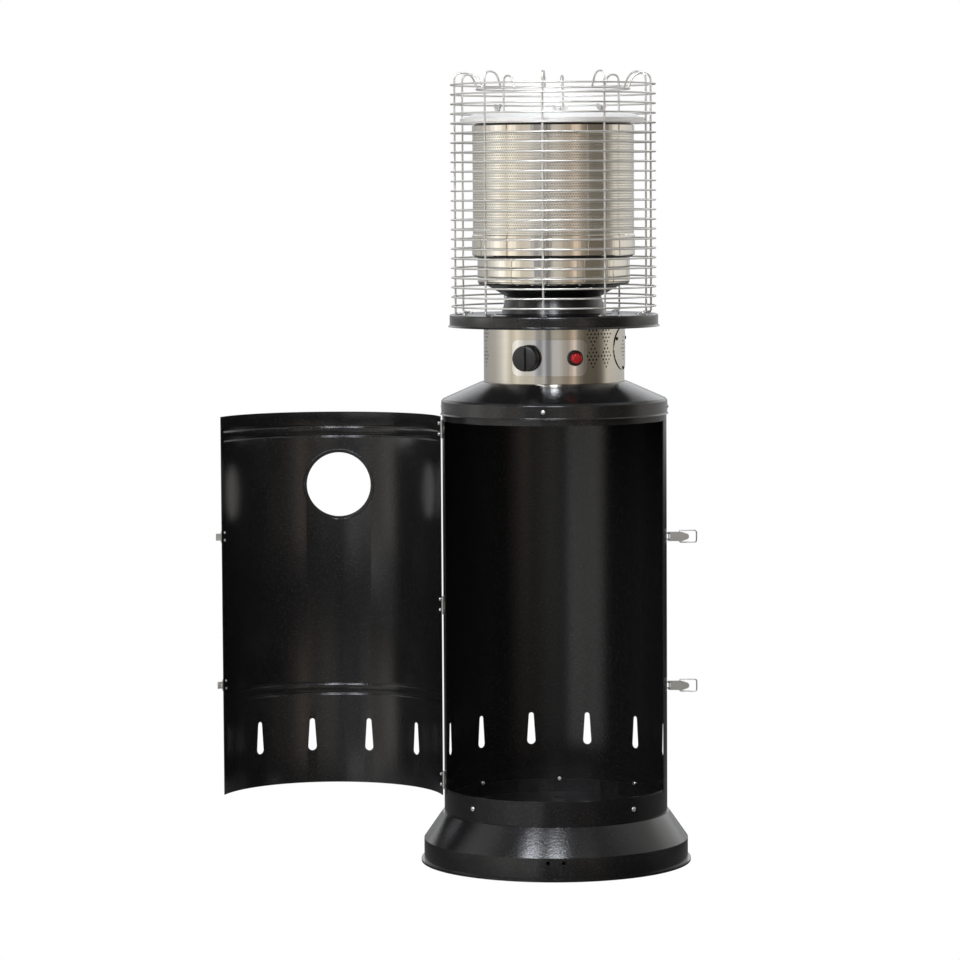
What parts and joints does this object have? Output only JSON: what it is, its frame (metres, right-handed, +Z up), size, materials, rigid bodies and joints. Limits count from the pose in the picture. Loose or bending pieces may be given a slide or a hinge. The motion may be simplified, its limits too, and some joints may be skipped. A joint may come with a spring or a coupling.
{
  "type": "patio heater",
  "caption": "Cabinet patio heater with a half-round door on hinges, draw latches, a gas knob, an igniter button and a caged infrared burner.",
  "frame": {"origin": "on the floor, under the middle of the whole heater with its door open, which is 166 mm to the door's side of the cabinet's own axis", "axes": "+Z up, -Y to the front where the controls are, +X to the side of the latches, away from the door"},
  "size_m": [0.8148, 0.46, 1.3381],
  "materials": {
    "coat": "black enamel, low gloss",
    "tray_steel": "black paint, matt",
    "band_steel": "brushed stainless steel, slightly warm",
    "plate_mirror": "polished bright plate",
    "burner_dark": "black heat-proof coating",
    "bowl_steel": "polished stainless steel",
    "emitter_steel": "stainless mesh, warm from heat",
    "reflector_alu": "pale satin aluminium",
    "guard_wire": "bright plated wire",
    "latch_dark": "dark plated steel",
    "latch_bright": "bright zinc plate",
    "bail_wire": "bright plated wire",
    "hinge_zinc": "zinc-plated steel",
    "fixings": "zinc-plated steel",
    "knob_plastic": "black, fine satin",
    "inner_plastic": "black, matt",
    "button_red": "red, gloss",
    "valve_alloy": "die-cast, satin",
    "brass": "turned brass",
    "inner_steel": "plain steel"
  },
  "bodies": {
    "heater": {"base_pan": "coat", "body_shell": "coat", "shoulder_cover": "coat", "flange_plate": "coat", "bottle_tray": "tray_steel", "control_band": "band_steel", "access_cover": "band_steel", "control_plate": "plate_mirror", "burner_neck": "burner_dark", "burner_dish": "burner_dark", "burner_cap": "burner_dark", "burner_bowl": "bowl_steel", "emitter": "emitter_steel", "reflector": "reflector_alu", "guard": "guard_wire", "guard_top_ring": "guard_wire", "latch_lower_base": "latch_dark", "latch_upper_base": "latch_dark", "hinge_lower_body_leaf": "hinge_zinc", "hinge_lower_pin": "hinge_zinc", "hinge_middle_body_leaf": "hinge_zinc", "hinge_middle_pin": "hinge_zinc", "hinge_upper_body_leaf": "hinge_zinc", "hinge_upper_pin": "hinge_zinc", "wing_nut_1": "fixings", "wing_nut_2": "fixings", "wing_nut_3": "fixings", "knob_bezel": "knob_plastic", "igniter_nut": "knob_plastic", "igniter_body": "inner_plastic", "tilt_switch": "inner_plastic", "valve_body": "valve_alloy", "gas_inlet": "brass", "feed_pipe": "brass", "gas_jet": "brass", "pilot_tube": "brass", "burner_tube": "inner_steel", "pilot_hood": "inner_steel", "thermocouple": "inner_steel"},
    "door": {"door_panel": "coat", "hinge_lower_door_leaf": "hinge_zinc", "hinge_middle_door_leaf": "hinge_zinc", "hinge_upper_door_leaf": "hinge_zinc", "strike_lower": "latch_bright", "strike_upper": "latch_bright"},
    "upper_lever": {"latch_upper_lever": "latch_bright"},
    "upper_bail": {"latch_upper_bail": "bail_wire"},
    "lower_lever": {"latch_lower_lever": "latch_bright"},
    "lower_bail": {"latch_lower_bail": "bail_wire"},
    "gas_tap": {"valve_plug": "brass"},
    "gas_knob": {"knob": "knob_plastic", "knob_stem": "inner_steel"},
    "igniter": {"igniter_button": "button_red"}
  },
  "joints": [
    {"name": "door_hinge", "type": "hinge", "parent": "heater", "child": "door", "pos_m": [-0.02255, -0.04142, 0.4375], "axis": [0, 0, 1], "range_deg": [0, 180]},
    {"name": "latch_upper", "type": "hinge", "parent": "heater", "child": "upper_lever", "pos_m": [0.35966, -0.03243, 0.556], "axis": [0, 0, 1], "range_deg": [0, 90]},
    {"name": "latch_upper_bail", "type": "hinge", "parent": "upper_lever", "child": "upper_bail", "pos_m": [0.37785, -0.03243, 0.556], "axis": [0, 0, 1], "range_deg": [-180, 0]},
    {"name": "latch_lower", "type": "hinge", "parent": "heater", "child": "lower_lever", "pos_m": [0.35966, -0.03243, 0.303], "axis": [0, 0, 1], "range_deg": [0, 90]},
    {"name": "latch_lower_bail", "type": "hinge", "parent": "lower_lever", "child": "lower_bail", "pos_m": [0.37785, -0.03243, 0.303], "axis": [0, 0, 1], "range_deg": [-180, 0]},
    {"name": "knob_turn", "type": "hinge", "parent": "heater", "child": "gas_tap", "pos_m": [0.16585, 0, 0.861], "axis": [-0.3123, -0.95, 0], "range_deg": [0, 210]},
    {"name": "knob_push", "type": "slide", "parent": "gas_tap", "child": "gas_knob", "axis": [0.3123, 0.95, 0], "range_m": [0, 0.004], "stiffness_N_per_m": 500, "springref_m": -0.004},
    {"name": "igniter_push", "type": "slide", "parent": "heater", "child": "igniter", "axis": [-0.3206, 0.9472, 0], "range_m": [0, 0.006], "stiffness_N_per_m": 400, "springref_m": -0.003}
  ],
  "couplings": [
    {"joint": "latch_upper_bail", "follows": "latch_upper", "ratio": -2},
    {"joint": "latch_lower_bail", "follows": "latch_lower", "ratio": -2}
  ]
}
